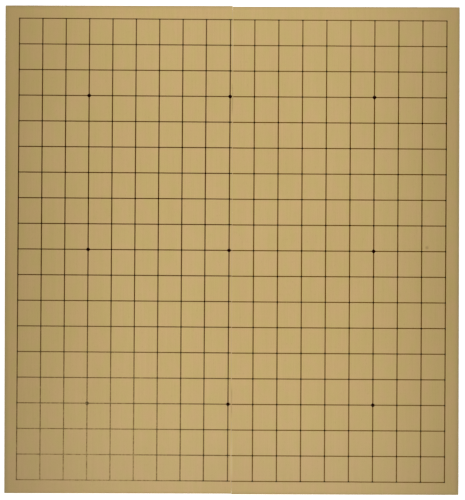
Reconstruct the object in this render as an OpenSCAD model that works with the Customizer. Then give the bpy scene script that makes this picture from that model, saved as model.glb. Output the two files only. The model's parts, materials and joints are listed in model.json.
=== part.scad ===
// Folding go board: two veneered halves that fold back to back on two butt hinges.
// Millimetres, +Z up. The board lies open on its feet with the playing face on top,
// the seam along Y at x = 0 and the resting plane at z = 0.

/* [Board] */

// Width of the open board, across the seam
board_width = 420; // [380:1:480]
// Length of the board, along the seam
board_length = 451; // [380:1:540]
// Thickness of the core of each half
core_thickness = 9; // [8:0.5:16]
// Thickness of the veneer on the face and on the back
veneer_thickness = 0.5; // [0.3:0.1:1]
// Thickness of the bands that close the edges
band_thickness = 0.9; // [0.5:0.1:2]
// Open joint between the two halves
seam_gap = 0.1; // [0.1:0.05:0.4]
// How much further back the left half sits than the right one
seam_step = 0.6; // [0:0.1:1.5]

/* [Grid] */

// Width of a printed column line
column_line_width = 1.04; // [0.4:0.02:1.2]
// Width of a printed row line
row_line_width = 0.92; // [0.4:0.02:1.2]
// Diameter of a star point
star_diameter = 3.3; // [2:0.1:5]
// Thickness of the ink
ink_thickness = 0.05; // [0.03:0.01:0.2]
// Margin in front of the first row and behind the last row
row_margin = 12.2; // [8:0.1:20]
// Margin between the left edge and the first column
left_margin = 12.2; // [8:0.1:20]
// Width of the left half's last cell, beside the centre column
last_left_cell = 22.3; // [20:0.1:25]
// Distance between the centre column and the seam
left_seam_margin = 2.7; // [2:0.1:5]
// Distance between the seam and the right half's first column
right_seam_margin = 20; // [15:0.1:24]
// Margin between the last column and the right edge
right_margin = 12.4; // [8:0.1:20]
// Bare strip between the ends of the left half's rows and the seam
left_print_gap = 0.1; // [0.1:0.1:1.6]
// Bare strip between the seam and the starts of the right half's rows
right_print_gap = 0.3; // [0.1:0.1:1.6]
// How far the left print is turned, clockwise from above, in degrees
left_print_turn = 0.25; // [0:0.01:0.4]
// How far the right print is turned, clockwise from above, in degrees
right_print_turn = 0.17; // [0:0.01:0.4]
// How far the right print sits towards the front of its half
right_print_shift = 0.3; // [0:0.1:1]

/* [Hinges] */

// Length of a hinge, along the seam
hinge_length = 38; // [32:1:60]
// Distance of a hinge's middle from the front or rear edge
hinge_inset = 85; // [50:1:150]
// Width of a leaf, out from the pin
leaf_width = 14; // [11:0.5:20]
// Thickness of a leaf
leaf_thickness = 1.2; // [1:0.1:1.5]
// Diameter of a hinge pin
pin_diameter = 1.8; // [1.4:0.1:2.4]
// Diameter of a screw's shank
screw_diameter = 2.8; // [2.2:0.1:3.4]
// Diameter of a screw's head
screw_head_diameter = 5; // [4.2:0.1:5.4]
// Length of a screw, head included
screw_length = 7; // [5:0.5:8]
// Distance between the two screws of a leaf
screw_spacing = 24; // [14:1:30]

/* [Feet] */

// Diameter of a foot where it meets the back
foot_diameter = 14; // [10:1:20]
// Height of a foot
foot_height = 4; // [3.6:0.1:8]
// Distance of a foot's middle from the edges of the board
foot_inset = 22; // [14:1:40]

/* [Hidden] */

// A round this fine counts as a true circle
$fn = 64;

// The side of the seam that a half lies on
left = -1;
right = 1;

// Heights of the layers, from the resting plane up
back_z = foot_height;
core_z = back_z + veneer_thickness;
veneer_z = core_z + core_thickness;
face_z = veneer_z + veneer_thickness;

// Distances out from the seam, and along it
half_width = board_width / 2;
seam_x = seam_gap / 2;
inner_x = seam_x + band_thickness;
outer_x = half_width - band_thickness;
edge_y = board_length / 2;
inner_y = edge_y - band_thickness;

// Grid: ten columns on the left half, nine on the right, nineteen rows on both
line_count = 19;
left_pitch = (half_width - left_margin - last_left_cell - left_seam_margin) / 8;
right_pitch = (half_width - right_seam_margin - right_margin) / 8;
row_pitch = (board_length - 2 * row_margin) / (line_count - 1);
left_even_columns = [for (i = [0:8]) left_margin - half_width + i * left_pitch];
left_columns = concat(left_even_columns, [-left_seam_margin]);
right_columns = [for (i = [0:8]) right_seam_margin + i * right_pitch];
rows = [for (i = [0:line_count - 1]) row_margin - edge_y + i * row_pitch];
left_star_columns = [left_columns[3], left_columns[9]];
right_star_columns = [right_columns[5]];
star_rows = [rows[3], rows[9], rows[15]];

// Hinge: five knuckles, three on the right leaf, where the pin sits tight, two on the left
knuckle_count = 5;
right_knuckles = [0, 2, 4];
left_knuckles = [1, 3];
front_hinge_y = hinge_inset - edge_y;
rear_hinge_y = edge_y - hinge_inset;
pin_radius = pin_diameter / 2;
// Room round the pin, where it is held and where it turns
pin_fit = 0.02;
pin_play = 0.05;
// Room between neighbouring knuckles, round them, and round a leaf in its recess
knuckle_gap = 0.3;
knuckle_room = 0.35;
leaf_room = 0.2;
// A knuckle's top stands this much above its leaf
knuckle_rise = 0.15;
knuckle_radius = pin_radius + pin_play + leaf_thickness;
knuckle_pitch = hinge_length / knuckle_count;
knuckle_length = knuckle_pitch - knuckle_gap;
pin_z = back_z + leaf_thickness + knuckle_rise - knuckle_radius;
plate_x = knuckle_radius + knuckle_room;
pin_chamfer = 0.2;

// Screw: a right-angled countersunk head, a plain shank and a point
screw_radius = screw_diameter / 2;
screw_head_radius = screw_head_diameter / 2;
screw_point = 2;
screw_room = 0.02;
screw_x = (plate_x + leaf_width) / 2;
// Cross recess in the head
recess_length = 2.8;
recess_width = 0.6;
recess_depth = 0.8;

// Foot: tapered, with a chamfer at the bottom
foot_taper = 0.5;
foot_chamfer = 0.6;
foot_x = half_width - foot_inset;
foot_y = edge_y - foot_inset;

// Cutters run past the face that they open
overrun = 1;

core_colour = [0.60, 0.47, 0.32];
veneer_colour = [0.76, 0.66, 0.44];
band_colour = [0.70, 0.59, 0.38];
ink_colour = [0.08, 0.07, 0.06];
brass_colour = [0.78, 0.62, 0.30];
steel_colour = [0.62, 0.62, 0.62];
rubber_colour = [0.12, 0.12, 0.12];

// Y of the middle of a half: the left half sits further back than the right
function half_y(side) = -side * seam_step / 2;

// A block of one half: x counts out from the seam, y from the half's middle
module slab(side, x, y, z) {
    start_x = side == right ? x[0] : -x[1];
    translate([start_x, y[0] + half_y(side), z[0]])
        cube([x[1] - x[0], y[1] - y[0], z[1] - z[0]]);
}

// Recess for one hinge in a half's back, with room for the knuckles at the seam
module hinge_recess(side, y) {
    length = hinge_length + 2 * leaf_room;
    width = leaf_width + leaf_room + overrun;
    start_x = side == right ? -overrun : overrun - width;
    translate([start_x, y - length / 2, back_z - overrun])
        cube([width, length, leaf_thickness + overrun]);
    translate([0, y + length / 2, pin_z])
        rotate([90, 0, 0])
            cylinder(r = knuckle_radius + knuckle_room, h = length);
}

module hinge_recesses(side) {
    hinge_recess(side, front_hinge_y);
    hinge_recess(side, rear_hinge_y);
}

// Places its children at the two screws of one leaf
module at_screws(side, y) {
    for (along = [-1, 1])
        translate([side * screw_x, y + along * screw_spacing / 2, back_z])
            children();
}

// Outline of a screw turned about its axis, head at z = 0, grown by some room
module screw_form(room) {
    head = screw_head_radius + room;
    shank = screw_radius + room;
    tip = screw_length + room;
    rotate_extrude()
        polygon([
            [0, 0], [head, 0], [shank, head - shank],
            [shank, tip - screw_point], [0, tip]
        ]);
}

module core(side) {
    difference() {
        slab(side, [inner_x, outer_x], [-inner_y, inner_y], [core_z, veneer_z]);
        hinge_recesses(side);
        at_screws(side, front_hinge_y) screw_form(screw_room);
        at_screws(side, rear_hinge_y) screw_form(screw_room);
    }
}

module face_veneer(side) {
    slab(side, [inner_x, outer_x], [-inner_y, inner_y], [veneer_z, face_z]);
}

module back_veneer(side) {
    difference() {
        slab(side, [inner_x, outer_x], [-inner_y, inner_y], [back_z, core_z]);
        hinge_recesses(side);
    }
}

module outer_band(side) {
    slab(side, [outer_x, half_width], [-edge_y, edge_y], [back_z, face_z]);
}

module seam_band(side) {
    difference() {
        slab(side, [seam_x, inner_x], [-edge_y, edge_y], [back_z, face_z]);
        hinge_recesses(side);
    }
}

module front_band(side) {
    slab(side, [inner_x, outer_x], [-edge_y, -inner_y], [back_z, face_z]);
}

module rear_band(side) {
    slab(side, [inner_x, outer_x], [inner_y, edge_y], [back_z, face_z]);
}

// Flat lines and star points of one half; the rows run between two x values
module grid(columns, star_columns, row_start, row_end) {
    length = rows[line_count - 1] - rows[0] + row_line_width;
    for (x = columns)
        translate([x - column_line_width / 2, rows[0] - row_line_width / 2])
            square([column_line_width, length]);
    for (y = rows)
        translate([row_start, y - row_line_width / 2])
            square([row_end - row_start, row_line_width]);
    for (x = star_columns, y = star_rows)
        translate([x, y])
            circle(d = star_diameter);
}

// The ink on one half: its grid, turned and shifted a little and cut off at the half's edges
module grid_print(side, turn, shift, columns, star_columns, row_start, row_end) {
    middle_x = side * half_width / 2;
    translate([0, half_y(side), face_z])
        linear_extrude(height = ink_thickness)
            intersection() {
                translate([side == right ? seam_x : -half_width, -edge_y])
                    square([half_width - seam_x, board_length]);
                translate([middle_x, -shift])
                    rotate(-turn)
                        translate([-middle_x, 0])
                            grid(columns, star_columns, row_start, row_end);
            }
}

// One hinge leaf: a plate flush with the back and knuckles rolled round the pin
module leaf(side, y, knuckles, bore_room) {
    plate_width = leaf_width - plate_x;
    tab_width = plate_x + overrun;
    difference() {
        union() {
            translate([side == right ? plate_x : -leaf_width, y - hinge_length / 2, back_z])
                cube([plate_width, hinge_length, leaf_thickness]);
            for (i = knuckles) {
                knuckle_y = y + (i + 0.5) * knuckle_pitch - hinge_length / 2;
                translate([side == right ? 0 : -tab_width, knuckle_y - knuckle_length / 2, back_z])
                    cube([tab_width, knuckle_length, leaf_thickness]);
                translate([0, knuckle_y + knuckle_length / 2, pin_z])
                    rotate([90, 0, 0])
                        cylinder(r = knuckle_radius, h = knuckle_length);
            }
        }
        translate([0, y + hinge_length / 2 + overrun, pin_z])
            rotate([90, 0, 0])
                cylinder(r = pin_radius + bore_room, h = hinge_length + 2 * overrun);
        at_screws(side, y) screw_form(screw_room);
    }
}

module pin(y) {
    translate([0, y + hinge_length / 2, pin_z])
        rotate([90, 0, 0])
            rotate_extrude()
                polygon([
                    [0, 0], [pin_radius - pin_chamfer, 0], [pin_radius, pin_chamfer],
                    [pin_radius, hinge_length - pin_chamfer],
                    [pin_radius - pin_chamfer, hinge_length], [0, hinge_length]
                ]);
}

module screws(side, y) {
    at_screws(side, y)
        difference() {
            screw_form(0);
            for (turn = [0, 90])
                rotate([0, 0, turn])
                    translate([-recess_length / 2, -recess_width / 2, -overrun])
                        cube([recess_length, recess_width, recess_depth + overrun]);
        }
}

module foot(side, y) {
    bottom_radius = foot_diameter / 2 - foot_taper;
    translate([side * foot_x, y + half_y(side), 0])
        rotate_extrude()
            polygon([
                [0, 0], [bottom_radius - foot_chamfer, 0], [bottom_radius, foot_chamfer],
                [foot_diameter / 2, foot_height], [0, foot_height]
            ]);
}

module left_core() color(core_colour) core(left);
module left_face_veneer() color(veneer_colour) face_veneer(left);
module left_back_veneer() color(veneer_colour) back_veneer(left);
module left_outer_band() color(band_colour) outer_band(left);
module left_seam_band() color(band_colour) seam_band(left);
module left_front_band() color(band_colour) front_band(left);
module left_rear_band() color(band_colour) rear_band(left);

module left_grid_print() {
    color(ink_colour)
        grid_print(left, left_print_turn, 0, left_columns, left_star_columns,
            left_columns[0] - column_line_width / 2, -left_print_gap);
}

module right_core() color(core_colour) core(right);
module right_face_veneer() color(veneer_colour) face_veneer(right);
module right_back_veneer() color(veneer_colour) back_veneer(right);
module right_outer_band() color(band_colour) outer_band(right);
module right_seam_band() color(band_colour) seam_band(right);
module right_front_band() color(band_colour) front_band(right);
module right_rear_band() color(band_colour) rear_band(right);

module right_grid_print() {
    color(ink_colour)
        grid_print(right, right_print_turn, right_print_shift, right_columns, right_star_columns,
            right_print_gap, right_columns[8] + column_line_width / 2);
}

module front_hinge_left_leaf() color(brass_colour) leaf(left, front_hinge_y, left_knuckles, pin_play);
module front_hinge_right_leaf() color(brass_colour) leaf(right, front_hinge_y, right_knuckles, pin_fit);
module front_hinge_pin() color(steel_colour) pin(front_hinge_y);
module front_hinge_left_screws() color(steel_colour) screws(left, front_hinge_y);
module front_hinge_right_screws() color(steel_colour) screws(right, front_hinge_y);

module rear_hinge_left_leaf() color(brass_colour) leaf(left, rear_hinge_y, left_knuckles, pin_play);
module rear_hinge_right_leaf() color(brass_colour) leaf(right, rear_hinge_y, right_knuckles, pin_fit);
module rear_hinge_pin() color(steel_colour) pin(rear_hinge_y);
module rear_hinge_left_screws() color(steel_colour) screws(left, rear_hinge_y);
module rear_hinge_right_screws() color(steel_colour) screws(right, rear_hinge_y);

module left_front_foot() color(rubber_colour) foot(left, -foot_y);
module left_rear_foot() color(rubber_colour) foot(left, foot_y);
module right_front_foot() color(rubber_colour) foot(right, -foot_y);
module right_rear_foot() color(rubber_colour) foot(right, foot_y);

left_core();
left_face_veneer();
left_back_veneer();
left_outer_band();
left_seam_band();
left_front_band();
left_rear_band();
left_grid_print();
right_core();
right_face_veneer();
right_back_veneer();
right_outer_band();
right_seam_band();
right_front_band();
right_rear_band();
right_grid_print();
front_hinge_left_leaf();
front_hinge_right_leaf();
front_hinge_pin();
front_hinge_left_screws();
front_hinge_right_screws();
rear_hinge_left_leaf();
rear_hinge_right_leaf();
rear_hinge_pin();
rear_hinge_left_screws();
rear_hinge_right_screws();
left_front_foot();
left_rear_foot();
right_front_foot();
right_rear_foot();
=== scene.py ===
import json
import math

import bpy
import numpy as np
from mathutils import Matrix, Vector

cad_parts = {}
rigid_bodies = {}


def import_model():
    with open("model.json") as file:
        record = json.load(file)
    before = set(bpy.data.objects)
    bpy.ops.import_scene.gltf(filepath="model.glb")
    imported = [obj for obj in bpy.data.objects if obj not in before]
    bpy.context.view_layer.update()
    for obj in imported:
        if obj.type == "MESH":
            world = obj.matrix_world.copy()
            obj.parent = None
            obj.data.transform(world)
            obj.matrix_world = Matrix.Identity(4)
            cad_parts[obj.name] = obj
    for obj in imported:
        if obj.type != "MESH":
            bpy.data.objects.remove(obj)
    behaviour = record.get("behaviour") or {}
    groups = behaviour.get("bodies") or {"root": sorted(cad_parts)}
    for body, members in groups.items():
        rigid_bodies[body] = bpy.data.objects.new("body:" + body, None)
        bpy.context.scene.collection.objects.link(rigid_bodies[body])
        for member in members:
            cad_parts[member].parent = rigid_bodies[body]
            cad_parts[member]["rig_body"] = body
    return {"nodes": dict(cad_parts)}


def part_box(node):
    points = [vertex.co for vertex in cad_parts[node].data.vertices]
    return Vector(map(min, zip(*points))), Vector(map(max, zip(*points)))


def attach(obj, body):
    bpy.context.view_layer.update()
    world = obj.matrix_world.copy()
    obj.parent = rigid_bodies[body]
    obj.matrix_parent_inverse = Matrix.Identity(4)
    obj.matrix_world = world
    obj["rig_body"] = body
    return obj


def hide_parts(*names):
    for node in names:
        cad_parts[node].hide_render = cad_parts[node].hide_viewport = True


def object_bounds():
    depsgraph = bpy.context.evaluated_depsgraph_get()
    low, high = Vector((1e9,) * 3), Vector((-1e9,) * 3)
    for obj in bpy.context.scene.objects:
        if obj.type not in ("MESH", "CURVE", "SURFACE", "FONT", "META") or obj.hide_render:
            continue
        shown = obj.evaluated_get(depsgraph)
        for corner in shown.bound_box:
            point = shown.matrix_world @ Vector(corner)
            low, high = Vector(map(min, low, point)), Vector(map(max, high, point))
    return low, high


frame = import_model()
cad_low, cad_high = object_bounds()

# Numbers of the axes
X, Y, Z = range(3)


def srgb(red, green, blue):
    """A colour as a painter reads it, 0 to 255 a channel, turned into linear light."""
    levels = np.array([red, green, blue]) / 255
    linear = np.where(levels <= 0.04045, levels / 12.92, ((levels + 0.055) / 1.055) ** 2.4)
    return (*linear.tolist(), 1.0)


def grey(level):
    """A colour without hue, in linear light."""
    return (level, level, level, 1.0)


# Lengths are in metres. A pair of them says where a mark on a surface ends and where it is full.

# Places on the open board, from the solids: its face and back, its outer edges and its hinges
FACE_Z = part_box("left_face_veneer")[1].z
BACK_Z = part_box("left_back_veneer")[0].z
SIDE_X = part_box("right_outer_band")[1].x
END_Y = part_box("right_outer_band")[1].y
HINGE_Y = sum(corner.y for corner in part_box("rear_hinge_pin")) / 2

# Rounded arrises of the bands, and broken edges of the hinge leaves
ARRIS = 0.0004
ARRIS_STEPS = 6
LEAF_EDGE = 0.00018
LEAF_EDGE_STEPS = 2
WELD_REACH = 0.000002
SHARP_EDGE = math.radians(50)

# Rubber feet; the side's insets are from the flange's rim, at the lower and the upper end
FOOT_SIDES = 64
DIMPLE_RADIUS = 0.0026
DIMPLE_DEPTH = 0.0005
DIMPLE_FLAT = 0.0004
DIMPLE_RINGS = 10
FOOT_ROUND = 0.0012
FOOT_ROUND_RINGS = 9
LOWER_INSET = 0.0007
UPPER_INSET = 0.0004
FLANGE_HEIGHT = 0.0007
FLANGE_CHAMFER = 0.0001

# The print of each half: its middle, how far it is turned, its even columns and rows, and its star points
PRINT_MIDDLE = {"left": (-SIDE_X / 2, 0.0003), "right": (SIDE_X / 2, -0.0006)}
PRINT_TURN = {"left": math.radians(0.25), "right": math.radians(0.17)}
FIRST_COLUMN = {"left": -0.1978, "right": 0.02}
COLUMN_STEP = {"left": 0.0216, "right": 0.0222}
CENTRE_COLUMN = -0.0027
ROW_STEP = 0.0237
STAR_COLUMNS = {
    "left": (FIRST_COLUMN["left"] + 3 * COLUMN_STEP["left"], CENTRE_COLUMN),
    "right": (FIRST_COLUMN["right"] + 5 * COLUMN_STEP["right"],),
}
STAR_ROWS = (-6 * ROW_STEP, 0.0, 6 * ROW_STEP)
STAR_REACH = (0.0024, 0.0018)
CROSSING_REACH = (0.0012, 0.0006)

# The ink, a little thinner on the right half's lines, and the look of a line that is worn off
LINE_INK = {"left": srgb(77, 43, 0), "right": srgb(95, 62, 0)}
CROSSING_INK = srgb(22, 4, 0)
STAR_INK = srgb(27, 1, 0)
WORN_INK = srgb(176, 150, 96)

# Where and how far the print is worn: at the front, more in one strip there, and at the rear
WORN_FRONT_Y = (0.03, -0.22)
FRONT_WEAR = {"left": 0.3, "right": 0.2}
WORN_STRIP_X = -0.135
WORN_STRIP_REACH = (0.14, 0.02)
STRIP_WEAR = 0.33
WORN_REAR_Y = (0.1, 0.22)
REAR_WEAR = 0.22

# Marks on the playing face: a front dulled by use and by painted shade, painted shade at its front edge,
# and one small stain
WORN_AND_SHADED_FRONT_Y = (-0.08, -0.22)
PAINTED_SHADE_EDGE_Y = (-0.16, -0.225)
STAIN_PLACE = (0.1803, 0.0028, FACE_Z)
STAIN_REACH = (0.0024, 0.0004)

# The darker rim of the playing face: its sides, which are less dark at the rear, and its front and rear
# ends
SIDE_RIM_WIDTH = 0.0042
SIDE_RIM_DARKENING = 0.5
RIM_FADING_Y = (0.06, 0.2)
END_RIM_WIDTH = 0.0028
END_RIM_DARKENING = 0.32
RIM_COLOUR = srgb(146, 133, 88)

# The tops of the seam bands: paler between the hinges and the ends, as wear and as a painted highlight on
# the arris, and darker at the fold over the hinges
SEAM_TOP_Z = (FACE_Z - 0.0006, FACE_Z - 0.0001)
WORN_AND_HIGHLIT_FROM_Y = (0.16, 0.19)
WORN_AND_HIGHLIT_TO_Y = (0.215, 0.2)
HINGE_DARKENING_REACH = (0.018, 0.008)
FOLD_DARKENING_REACH = (0.0009, 0.0003)

# Dust on the rubber, near the table
DUSTY_Z = (0.0012, 0.0001)

# Camera: straight above, as in the photograph
CAMERA_PLACE = (0.0005, 0.0002, 1.4263)
CAMERA_ROLL = math.radians(0.156)
CAMERA_LENS = 110

# Lamps: a panel over the fold, and a soft fill lamp
PANEL_PLACE = (0.008, 0.0, 1.7)
PANEL_WIDTH = 0.42
PANEL_LENGTH = 2.4
PANEL_SPREAD = math.radians(12)
PANEL_POWER = 1.755
FILL_POWER = 0.75
FILL_SOFTNESS = math.radians(40)
FILL_TILT = math.radians(60)
FILL_TURN = math.radians(-40)

# Light from all round: from above and, bounced, from below, with a soft horizon
SKY_LIGHT = 0.295
BOUNCED_LIGHT = 0.72
HORIZON_BLEND = 0.15

# White paper floor: its glow, its colour in the open and its painted shade deep under the board, and the
# shade between
FLOOR_WIDTH = 12.0
FLOOR_GLOW = 0.66
PAPER = grey(0.85)
SHADED_PAPER = grey(0.3)
SHADE_REACH = 0.02
SHADE_SAMPLES = 8
OPEN_AIR = (0.2, 0.6)


class Wire:
    """A socket of a node tree; arithmetic on wires adds Math nodes."""

    def __init__(self, tree, socket):
        self.tree = tree
        self.socket = socket

    def node(self, kind, settings=None, inputs=None, output=0):
        """Adds a node of any kind: its settings come first, then its sockets' values or links."""
        made = self.tree.nodes.new("ShaderNode" + kind)
        for name, value in (settings or {}).items():
            setattr(made, name, value)
        for name, value in (inputs or {}).items():
            if isinstance(value, Wire):
                self.tree.links.new(value.socket, made.inputs[name])
            else:
                made.inputs[name].default_value = value
        return Wire(self.tree, made.outputs[output])

    def maths(self, operation, *values):
        """Adds a Math node."""
        return self.node("Math", {"operation": operation}, dict(enumerate(values)))

    def __add__(self, other):
        return self.maths("ADD", self, other)

    def __sub__(self, other):
        return self.maths("SUBTRACT", self, other)

    def __rsub__(self, other):
        return self.maths("SUBTRACT", other, self)

    def __mul__(self, other):
        return self.maths("MULTIPLY", self, other)

    __radd__ = __add__
    __rmul__ = __mul__

    def highest(self, other):
        """The larger of two values."""
        return self.maths("MAXIMUM", self, other)

    def lowest(self, other):
        """The smaller of two values."""
        return self.maths("MINIMUM", self, other)

    def size(self):
        """The value without its sign."""
        return self.maths("ABSOLUTE", self)

    def wave(self):
        """A triangle wave: how far the value lies from the nearest whole number."""
        return self.maths("PINGPONG", self, 0.5)

    def rise(self, none, full):
        """A smooth step from 0 at one value to 1 at another, which may be the smaller of the two."""
        steps = {"Value": self, "From Min": none, "From Max": full}
        if none > full:
            steps.update({"From Min": full, "From Max": none, "To Min": 1.0, "To Max": 0.0})
        return self.node("MapRange", {"interpolation_type": "SMOOTHSTEP"}, steps)

    def axis(self, index):
        """One of a vector's parts: X, Y or Z."""
        return self.node("SeparateXYZ", inputs={"Vector": self}, output=index)

    def distance(self, point):
        """How far this vector lies from a point."""
        return self.node("VectorMath", {"operation": "DISTANCE"}, {0: self, 1: point}, "Value")

    def stretched(self, x, y, z):
        """The vector with each part multiplied: how many pattern units a metre holds."""
        return self.node("Mapping", inputs={"Vector": self, "Scale": (x, y, z)})

    def scaled(self, count):
        """The vector with all parts multiplied alike."""
        return self.stretched(count, count, count)

    def noise(self, detail, roughness=0.5):
        """Soft noise from 0 to 1 on this vector, 0.5 on average."""
        shape = {"Vector": self, "Scale": 1.0, "Detail": detail, "Roughness": roughness}
        return self.node("TexNoise", inputs=shape)

    def swing(self, share):
        """Noise moved to lie about 0, and multiplied."""
        return (self - 0.5) * share

    def mix(self, first, second):
        """A colour between two others, by this wire as the share of the second. A Mix node's sockets
        share names, so they go by number: 0 is the share, 6 and 7 are the colours, 2 is the result."""
        return self.node("Mix", {"data_type": "RGBA"}, {0: self, 6: first, 7: second}, 2)

    def bump(self, depth, strength):
        """A normal tilted by this wire as a height of up to the given depth."""
        return self.node("Bump", inputs={"Height": self, "Distance": depth, "Strength": strength})


class Finish:
    """A node material with one Principled shader, and the object's coordinates to paint by."""

    def __init__(self, name, **constants):
        self.material = bpy.data.materials.new(name)
        self.material.use_nodes = True
        self.tree = self.material.node_tree
        self.shader = self.tree.nodes["Principled BSDF"]
        coordinates = self.tree.nodes.new("ShaderNodeTexCoord")
        self.place = Wire(self.tree, coordinates.outputs["Object"])
        for socket, value in constants.items():
            self.shader.inputs[socket.replace("_", " ")].default_value = value

    def painted(self, colour, roughness, relief):
        """The material, with its varying inputs wired."""
        wires = {"Base Color": colour, "Roughness": roughness, "Normal": relief}
        for socket, wire in wires.items():
            self.tree.links.new(wire.socket, self.shader.inputs[socket])
        return self.material


def wood_grain(place, along):
    """Fibres, broad streaks and pores of straight-grained wood whose fibres run along X or Y. Each is soft
    noise, stretched along the fibres; the pores are the peaks of a finer one."""
    def lie(across, lengthwise):
        counts = [across, across, across]
        counts[along] = lengthwise
        return place.stretched(*counts)
    fibre = lie(2600, 22).noise(4.0, 0.62)
    streak = lie(95, 4.5).noise(2.0)
    pore = lie(5200, 330).noise(1.0).rise(0.66, 0.76)
    return fibre, streak, pore


def wood_relief(fibre, pore, depth, strength):
    """Wood's fine relief: raised fibres and sunken pores."""
    return (fibre * 0.6 - pore).bump(depth, strength)


def rim(place):
    """The darkening at the outer edges of the board, falling to 0 a few millimetres in, in uneven patches.
    """
    lengthwise = place.axis(Y)
    sides = place.axis(X).size().rise(SIDE_X - SIDE_RIM_WIDTH, SIDE_X) * SIDE_RIM_DARKENING
    sides = sides * (1 - lengthwise.rise(*RIM_FADING_Y) * 0.5)
    ends = lengthwise.size().rise(END_Y - END_RIM_WIDTH, END_Y) * END_RIM_DARKENING
    patch = place.scaled(120).noise(3.0)
    return sides.highest(ends) * (0.6 + patch * 0.8)


def face_wood(place):
    """Pale tan wood, very even: fine fibres, faint streaks, patches that lean to pink or to yellow, a front
    that is dulled by use and darkened by painted shade, painted shade along the front edge, and a
    darker rim. Gives its colour, its roughness and its relief."""
    pale_pink, pale_yellow = srgb(199, 167, 111), srgb(194, 169, 104)
    dark_pink, dark_yellow = srgb(190, 158, 102), srgb(185, 160, 95)
    pore_brown, worn_and_shaded_grey, painted_shade_brown = srgb(156, 126, 74), srgb(178, 156, 122), srgb(153, 122, 99)
    fibre, streak, pore = wood_grain(place, Y)
    cloud = place.stretched(16, 9, 16).noise(2.0)
    lean = place.stretched(95, 60, 95).noise(2.0).rise(0.25, 0.75)
    tone = 0.5 + fibre.swing(1.3) + streak.swing(0.35) + cloud.swing(0.25)
    colour = tone.mix(lean.mix(pale_pink, pale_yellow), lean.mix(dark_pink, dark_yellow))
    colour = (pore * 0.45).mix(colour, pore_brown)
    # Wear and painted shade: the front of the face is mixed towards a dull grey, for use and for light that
    # falls off there
    colour = (place.axis(Y).rise(*WORN_AND_SHADED_FRONT_Y) * 0.12).mix(colour, worn_and_shaded_grey)
    # Painted shade: the last centimetres at the front edge are mixed towards brown, for light that falls
    # off there
    colour = (place.axis(Y).rise(*PAINTED_SHADE_EDGE_Y) * 0.1).mix(colour, painted_shade_brown)
    # A darker rim along the outer edges of the face
    colour = rim(place).mix(colour, RIM_COLOUR)
    roughness = 0.56 + cloud.swing(0.1) + fibre * 0.06
    return colour, roughness, wood_relief(fibre, pore, 0.00001, 0.5)


def face_veneer_finish():
    """The face wood under satin lacquer, with one small stain."""
    finish = Finish("face_veneer", IOR=1.45, Specular_IOR_Level=0.33)
    stain_brown = srgb(150, 126, 72)
    colour, roughness, relief = face_wood(finish.place)
    stain = finish.place.distance(STAIN_PLACE).rise(*STAIN_REACH)
    colour = (stain * 0.6).mix(colour, stain_brown)
    return finish.painted(colour, roughness, relief)


def seam_band_finish():
    """The face wood at the fold. Its top is paler between the hinges and the ends, as wear and as a painted
    highlight on the arris, and darker at the fold over the hinges."""
    finish = Finish("seam_band", IOR=1.45, Specular_IOR_Level=0.33)
    paler_wood, fold_dark_brown = srgb(214, 190, 138), srgb(110, 84, 46)
    colour, roughness, relief = face_wood(finish.place)
    from_middle = finish.place.axis(Y).size()
    top = finish.place.axis(Z).rise(*SEAM_TOP_Z)
    # Wear and painted highlight: the top of the seam band is mixed paler, most between the hinges and the
    # ends
    paler = 0.06 + from_middle.rise(*WORN_AND_HIGHLIT_FROM_Y) * from_middle.rise(*WORN_AND_HIGHLIT_TO_Y) * 0.3
    colour = (top * paler).mix(colour, paler_wood)
    # Darker brown along the fold, over the hinges
    over_hinge = (from_middle - HINGE_Y).size().rise(*HINGE_DARKENING_REACH)
    at_fold = finish.place.axis(X).size().rise(*FOLD_DARKENING_REACH)
    colour = (top * over_hinge * at_fold * 0.24).mix(colour, fold_dark_brown)
    return finish.painted(colour, roughness, relief)


def back_veneer_finish():
    """The same wood on the back, with plainer lacquer and a grain that shows more."""
    finish = Finish("back_veneer", IOR=1.45)
    pale, dark, pore_brown = srgb(190, 159, 102), srgb(166, 134, 82), srgb(132, 100, 58)
    fibre, streak, pore = wood_grain(finish.place, Y)
    tone = 0.5 + fibre.swing(1.1) + streak.swing(1.3)
    colour = (pore * 0.5).mix(tone.mix(pale, dark), pore_brown)
    return finish.painted(colour, 0.5 + fibre * 0.14, wood_relief(fibre, pore, 0.00002, 0.6))


def band_finish(name, along, top_darkening):
    """Edge veneer, a little darker than the face, with its grain along the edge, rubbed pale at the bottom
    arris and darker at the top one."""
    finish = Finish(name, IOR=1.45)
    pale, dark, pore_brown = srgb(194, 164, 103), srgb(170, 139, 82), srgb(138, 106, 60)
    paler_wood = srgb(206, 180, 128)
    fibre, streak, pore = wood_grain(finish.place, along)
    tone = 0.5 + fibre.swing(1.5) + streak.swing(1.4)
    colour = (pore * 0.6).mix(tone.mix(pale, dark), pore_brown)
    height = finish.place.axis(Z)
    top_edge = height.rise(FACE_Z - 2 * ARRIS, FACE_Z - 0.5 * ARRIS)
    bottom_edge = height.rise(BACK_Z + 2 * ARRIS, BACK_Z + 0.5 * ARRIS)
    paler = finish.place.scaled(70).noise(3.0).rise(0.42, 0.62)
    colour = (bottom_edge * paler * 0.55).mix(colour, paler_wood)
    # Darker along the top arris, in the colour of the face's rim
    colour = (top_edge * top_darkening).mix(colour, RIM_COLOUR)
    return finish.painted(colour, 0.5 + fibre * 0.12, wood_relief(fibre, pore, 0.00002, 0.6))


def core_finish():
    """Pressed fibre board: fine mixed fibres and dark flecks, dull."""
    finish = Finish("fibre_board", IOR=1.45)
    pale, dark, fleck_brown = srgb(168, 132, 92), srgb(138, 104, 70), srgb(96, 68, 44)
    fibre = finish.place.scaled(2500).noise(4.0, 0.7)
    fleck = finish.place.scaled(900).noise(1.0).rise(0.64, 0.72)
    colour = (fleck * 0.6).mix(fibre.mix(pale, dark), fleck_brown)
    return finish.painted(colour, 0.8 + fibre * 0.15, fibre.bump(0.00005, 0.6))


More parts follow.
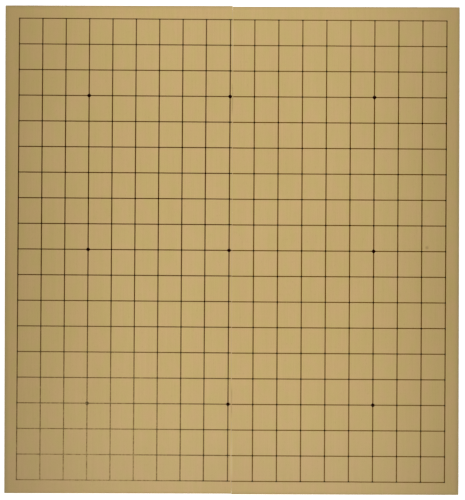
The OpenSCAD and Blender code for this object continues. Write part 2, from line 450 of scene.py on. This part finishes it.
def print_place(place, side):
    """Coordinates square to one half's print: its turn about its middle and its shift are taken off."""
    x, y = PRINT_MIDDLE[side]
    turn = PRINT_TURN[side]
    shift = Vector((x, 0)) - Matrix.Rotation(turn, 2) @ Vector((x, y))
    return place.node("Mapping", inputs={
        "Vector": place,
        "Location": (*shift, 0),
        "Rotation": (0, 0, turn),
    })


def star_points(place, side):
    """1 on the star points of one half's print, 0 elsewhere."""
    inside = 0
    for x in STAR_COLUMNS[side]:
        for y in STAR_ROWS:
            star = place.distance((x, y, FACE_Z)).rise(*STAR_REACH)
            inside = star.highest(inside)
    return inside


def crossings(place, side):
    """1 where a column crosses a row, 0 elsewhere. A triangle wave gives the distance to the nearest of
    even lines; the centre column stands off the left half's even ones."""
    x = place.axis(X)
    to_column = ((x - FIRST_COLUMN[side]) * (1 / COLUMN_STEP[side])).wave() * COLUMN_STEP[side]
    if side == "left":
        to_column = to_column.lowest((x - CENTRE_COLUMN).size())
    to_row = (place.axis(Y) * (1 / ROW_STEP)).wave() * ROW_STEP
    return to_column.rise(*CROSSING_REACH) * to_row.rise(*CROSSING_REACH)


def print_wear(place, side, thick):
    """How far one half's print is worn, in uneven patches: towards the front, most of all a third of the
    way in from the left edge, and a little at the rear. Thick ink holds, except in that strip."""
    lengthwise = place.axis(Y)
    front = lengthwise.rise(*WORN_FRONT_Y)
    rear = lengthwise.rise(*WORN_REAR_Y)
    strip = front * (place.axis(X) - WORN_STRIP_X).size().rise(*WORN_STRIP_REACH)
    patch = place.scaled(110).noise(2.0)
    wear = (front * FRONT_WEAR[side] + strip * STRIP_WEAR + rear * REAR_WEAR) * (0.7 + patch * 0.6)
    return wear * (1 - thick * (1 - strip) * 0.9)


def ink_finish(side):
    """Matt brown printing ink, darker where two lines cross and almost black on the star points. Pinholes
    and wear let the wood show through."""
    finish = Finish(side + "_ink", Specular_IOR_Level=0.0)
    on_print = print_place(finish.place, side)
    star = star_points(on_print, side)
    crossing = crossings(on_print, side)
    ink = star.mix(crossing.mix(LINE_INK[side], CROSSING_INK), STAR_INK)
    thick = star.highest(crossing * 0.6)
    wear = print_wear(finish.place, side, thick)
    grit = finish.place.scaled(800).noise(4.0, 0.65)
    pinholes = (grit + wear * 0.4).rise(0.64, 0.84) * 0.5
    colour = (pinholes + wear * 0.7).mix(ink, WORN_INK)
    return finish.painted(colour, 0.5 + grit * 0.2, grit.bump(0.000008, 0.5))


def brass_finish():
    """Rolled brass: fine lines along the hinge, dulled and browned in patches."""
    finish = Finish("brass", Metallic=1.0)
    bright, dull, brown = srgb(222, 186, 112), srgb(202, 162, 86), srgb(146, 106, 58)
    line = finish.place.stretched(5000, 60, 5000).noise(3.0, 0.6)
    tarnish = finish.place.scaled(260).noise(4.0, 0.65).rise(0.45, 0.7)
    colour = (tarnish * 0.45).mix(line.mix(bright, dull), brown)
    return finish.painted(colour, 0.26 + line * 0.12 + tarnish * 0.16, line.bump(0.000006, 0.5))


def steel_finish():
    """Zinc-plated steel: pale grey, cloudy, lightly scratched."""
    finish = Finish("plated_steel", Metallic=1.0)
    pale, dull, bright = srgb(208, 206, 200), srgb(168, 166, 160), srgb(226, 224, 220)
    cloud = finish.place.scaled(700).noise(3.0, 0.6)
    scratch = finish.place.stretched(6000, 500, 6000).noise(2.0).rise(0.6, 0.7)
    colour = (scratch * 0.3).mix(cloud.mix(pale, dull), bright)
    return finish.painted(colour, 0.3 + cloud * 0.2, scratch.bump(0.000005, 0.5))


def rubber_finish():
    """Moulded black rubber, finely grained, with grey dust on the face that meets the table."""
    finish = Finish("rubber", IOR=1.5)
    black, soft_black, dust_grey = srgb(34, 33, 32), srgb(48, 47, 45), srgb(112, 106, 98)
    grain = finish.place.scaled(3500).noise(2.0)
    smudge = finish.place.scaled(420).noise(3.0, 0.6).rise(0.3, 0.75)
    dust = finish.place.axis(Z).rise(*DUSTY_Z) * smudge
    colour = (dust * 0.4).mix(grain.mix(black, soft_black), dust_grey)
    return finish.painted(colour, 0.68 + grain * 0.2, grain.bump(0.00005, 0.4))


def placed(name, data):
    """A new object in the scene."""
    made = bpy.data.objects.new(name, data)
    bpy.context.scene.collection.objects.link(made)
    return made


def closed_skin(name, rings):
    """A piece from a stack of rings of points: quads join neighbouring rings, and a flat face closes each
    end. Rings whose signed volume is negative run the wrong way round, and are turned about."""
    middle = rings.mean(axis=(0, 1))
    near = rings[:-1] - middle
    far = rings[1:] - middle
    volume = np.sum(np.cross(near, np.roll(near, -1, axis=1)) * far)
    if volume < 0:
        rings = rings[:, ::-1]
    count, around = rings.shape[:2]
    index = np.arange(count * around).reshape(count, around)
    beside = np.roll(index, -1, axis=1)
    quads = np.stack([index[:-1], beside[:-1], beside[1:], index[1:]], axis=-1)
    ends = [index[0, ::-1].tolist(), index[-1].tolist()]
    mesh = bpy.data.meshes.new(name)
    mesh.from_pydata(rings.reshape(-1, 3).tolist(), [], quads.reshape(-1, 4).tolist() + ends)
    return placed(name, mesh)


def eased_band(node, along, out, sign, eased_ends):
    """A strip of edge veneer that runs along one axis and faces out on another, to its plus or minus side.
    Its section is a rectangle whose two outer corners are quarter circles. The section is carried along
    the edge, and at eased ends it draws in by a quarter circle of the same size."""
    low, high = (np.array(corner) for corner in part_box(node))
    turn = np.linspace(0, math.pi / 2, ARRIS_STEPS + 1)
    path = np.array([low[along], high[along]])
    inset = np.zeros((2, 1))
    if eased_ends:
        step_in = ARRIS * (1 - np.sin(turn[::-1]))
        draw_in = ARRIS * (1 - np.cos(turn[::-1]))
        path = np.concatenate([low[along] + step_in, high[along] - step_in[::-1]])
        inset = np.concatenate([draw_in, draw_in[::-1]])[:, None]
    bottom = low[Z] + inset
    top = high[Z] - inset
    round_out = high[out] - low[out] - inset - ARRIS
    outward = np.hstack([
        0 * inset, round_out + ARRIS * np.sin(turn),
        round_out + ARRIS * np.cos(turn), 0 * inset,
    ])
    upward = np.hstack([
        bottom, bottom + ARRIS - ARRIS * np.cos(turn),
        top - ARRIS + ARRIS * np.sin(turn), top,
    ])
    rings = np.zeros((*outward.shape, 3))
    rings[..., along] = path[:, None]
    rings[..., out] = low[out] + outward if sign > 0 else high[out] - outward
    rings[..., Z] = upward
    return closed_skin(node + "_eased", rings)


def turned(profile, x, y):
    """Rings of a body turned about the upright axis at x and y, from a profile of radius and height."""
    angle = np.linspace(0, 2 * math.pi, FOOT_SIDES, endpoint=False)
    radius = profile[:, :1]
    height = profile[:, 1:]
    return np.stack([x + radius * np.cos(angle), y + radius * np.sin(angle), height + 0 * angle], axis=-1)


def rubber_foot(node):
    """A moulded foot: a dimple in the bottom that rises as half a cosine wave, a flat ring, a quarter round
    at the lower edge, a tapered side and a thin base flange, all shaded smooth between sharp edges."""
    low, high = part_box(node)
    radius = (high.x - low.x) / 2
    height = high.z - low.z
    inside = np.linspace(DIMPLE_FLAT, DIMPLE_RADIUS, DIMPLE_RINGS)
    hollow = DIMPLE_DEPTH * (0.5 + 0.5 * np.cos(math.pi * inside / DIMPLE_RADIUS))
    dimple = np.stack([inside, hollow], axis=-1)
    turn = np.linspace(0, math.pi / 2, FOOT_ROUND_RINGS)
    ring = radius - LOWER_INSET - FOOT_ROUND
    corner = np.stack([ring + FOOT_ROUND * np.sin(turn), FOOT_ROUND - FOOT_ROUND * np.cos(turn)], axis=-1)
    flange = height - FLANGE_HEIGHT
    top = np.array([
        [radius - UPPER_INSET, flange],
        [radius - FLANGE_CHAMFER, flange],
        [radius, flange + FLANGE_CHAMFER],
        [radius, height],
    ])
    profile = np.concatenate([dimple, corner, top])
    rings = turned(profile, (low.x + high.x) / 2, (low.y + high.y) / 2)
    piece = closed_skin(node + "_moulded", rings)
    piece.data.shade_smooth()
    piece.data.set_sharp_from_angle(angle=SHARP_EDGE)
    return piece


def stand_for(piece, node, material):
    """Puts a finished piece in the place of a CAD node, on the body that the node rides on."""
    piece.data.materials.append(material)
    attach(piece, frame["nodes"][node]["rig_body"])
    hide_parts(node)


def dress(node, material):
    """Gives a CAD node that stays in view its finish."""
    frame["nodes"][node].data.materials.clear()
    frame["nodes"][node].data.materials.append(material)


def break_edges(node):
    """Rounds a hinge leaf's sharp edges a little."""
    piece = frame["nodes"][node]
    weld = piece.modifiers.new("weld", "WELD")
    weld.merge_threshold = WELD_REACH
    bevel = piece.modifiers.new("broken_edges", "BEVEL")
    bevel.width = LEAF_EDGE
    bevel.segments = LEAF_EDGE_STEPS
    bevel.limit_method = "ANGLE"
    bevel.angle_limit = SHARP_EDGE


def add_camera():
    """The camera of the photograph, looking down."""
    camera = placed("camera", bpy.data.cameras.new("camera"))
    camera.data.lens = CAMERA_LENS
    camera.location = CAMERA_PLACE
    camera.rotation_euler = (0, 0, CAMERA_ROLL)
    bpy.context.scene.camera = camera


def add_lamps():
    """An overhead panel along the fold, and a fill lamp."""
    panel = placed("panel", bpy.data.lights.new("panel", "AREA"))
    panel.data.shape = "RECTANGLE"
    panel.data.size = PANEL_WIDTH
    panel.data.size_y = PANEL_LENGTH
    panel.data.spread = PANEL_SPREAD
    panel.data.energy = PANEL_POWER
    panel.location = PANEL_PLACE
    panel.visible_camera = False
    fill = placed("fill", bpy.data.lights.new("fill", "SUN"))
    fill.data.energy = FILL_POWER
    fill.data.angle = FILL_SOFTNESS
    fill.rotation_euler = (FILL_TILT, 0, FILL_TURN)


def seen_rays(tree):
    """Two wires: 1 for rays to the camera, and 1 for rays that show a thing in gloss or through glass."""
    rays = tree.nodes.new("ShaderNodeLightPath")
    names = ("Is Camera Ray", "Is Glossy Ray", "Is Transmission Ray")
    camera, gloss, through = (Wire(tree, rays.outputs[name]) for name in names)
    return camera, gloss.highest(through)


def add_surroundings():
    """White where they are seen; as light, dim from above and brighter from below."""
    world = bpy.data.worlds.new("surroundings")
    bpy.context.scene.world = world
    world.use_nodes = True
    tree = world.node_tree
    direction = Wire(tree, tree.nodes.new("ShaderNodeTexCoord").outputs["Generated"])
    above = direction.axis(Z).rise(-HORIZON_BLEND, HORIZON_BLEND)
    light = BOUNCED_LIGHT + above * (SKY_LIGHT - BOUNCED_LIGHT)
    to_camera, in_gloss = seen_rays(tree)
    strength = light.highest(to_camera).highest(in_gloss)
    background = tree.nodes["Background"]
    background.inputs["Color"].default_value = grey(1)
    tree.links.new(strength.socket, background.inputs["Strength"])


def floor_finish():
    """White paper that glows a little where it is seen, with a painted shade deep under the board, where
    ambient occlusion finds little open air: there it is darker and glows less. It is clear from below."""
    material = bpy.data.materials.new("floor")
    material.use_nodes = True
    tree = material.node_tree
    tree.nodes.remove(tree.nodes["Principled BSDF"])
    to_camera, in_gloss = seen_rays(tree)
    add = to_camera.node
    openness = add("AmbientOcclusion", {"samples": SHADE_SAMPLES}, {"Distance": SHADE_REACH}, "AO")
    # Painted shade: where ambient occlusion finds little open air, the paper is darker and glows less
    open_air = openness.rise(*OPEN_AIR)
    paper = add("BsdfDiffuse", inputs={"Color": open_air.mix(SHADED_PAPER, PAPER)})
    strength = (to_camera * open_air).highest(in_gloss) * FLOOR_GLOW
    glow = add("Emission", inputs={"Color": grey(1), "Strength": strength})
    lit = add("AddShader", inputs={0: paper, 1: glow})
    clear = add("BsdfTransparent")
    below = add("NewGeometry", output="Backfacing")
    surface = add("MixShader", inputs={0: below, 1: lit, 2: clear})
    tree.links.new(surface.socket, tree.nodes["Material Output"].inputs["Surface"])
    return material


def sink_with_fold(floor):
    """Keeps the floor at height 0, or at the left half's outer edge where that folds down below it."""
    edge = placed("left_outer_edge", None)
    edge.location = (cad_low.x, 0, cad_high.z)
    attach(edge, "left_half")
    follow = floor.constraints.new("COPY_LOCATION")
    follow.target = edge
    follow.use_x = False
    follow.use_y = False
    limit = floor.constraints.new("LIMIT_LOCATION")
    limit.use_max_z = True
    limit.max_z = 0


def add_floor():
    """A wide paper floor, which throws no shadow and no diffuse light on the board."""
    side = FLOOR_WIDTH / 2
    corners = [(-side, -side, 0), (side, -side, 0), (side, side, 0), (-side, side, 0)]
    mesh = bpy.data.meshes.new("floor")
    mesh.from_pydata(corners, [], [(0, 1, 2, 3)])
    mesh.materials.append(floor_finish())
    floor = placed("floor", mesh)
    floor.visible_diffuse = False
    floor.visible_shadow = False
    sink_with_fold(floor)


bpy.context.scene.view_settings.view_transform = "Standard"
add_camera()
add_lamps()
add_surroundings()
add_floor()

face_veneer = face_veneer_finish()
back_veneer = back_veneer_finish()
long_band = band_finish("long_band", Y, SIDE_RIM_DARKENING)
cross_band = band_finish("cross_band", X, END_RIM_DARKENING)
seam_band = seam_band_finish()
core = core_finish()
brass = brass_finish()
steel = steel_finish()
rubber = rubber_finish()

for side, sign in (("left", -1), ("right", 1)):
    dress(side + "_face_veneer", face_veneer)
    dress(side + "_back_veneer", back_veneer)
    dress(side + "_core", core)
    dress(side + "_seam_band", seam_band)
    dress(side + "_grid_print", ink_finish(side))
    outer = side + "_outer_band"
    stand_for(eased_band(outer, Y, X, sign, eased_ends=True), outer, long_band)
    for end, outward in (("front", -1), ("rear", 1)):
        cross = f"{side}_{end}_band"
        stand_for(eased_band(cross, X, Y, outward, eased_ends=False), cross, cross_band)
        foot = f"{side}_{end}_foot"
        stand_for(rubber_foot(foot), foot, rubber)
        leaf = f"{end}_hinge_{side}_leaf"
        dress(leaf, brass)
        break_edges(leaf)
        dress(f"{end}_hinge_{side}_screws", steel)

for end in ("front", "rear"):
    dress(f"{end}_hinge_pin", steel)
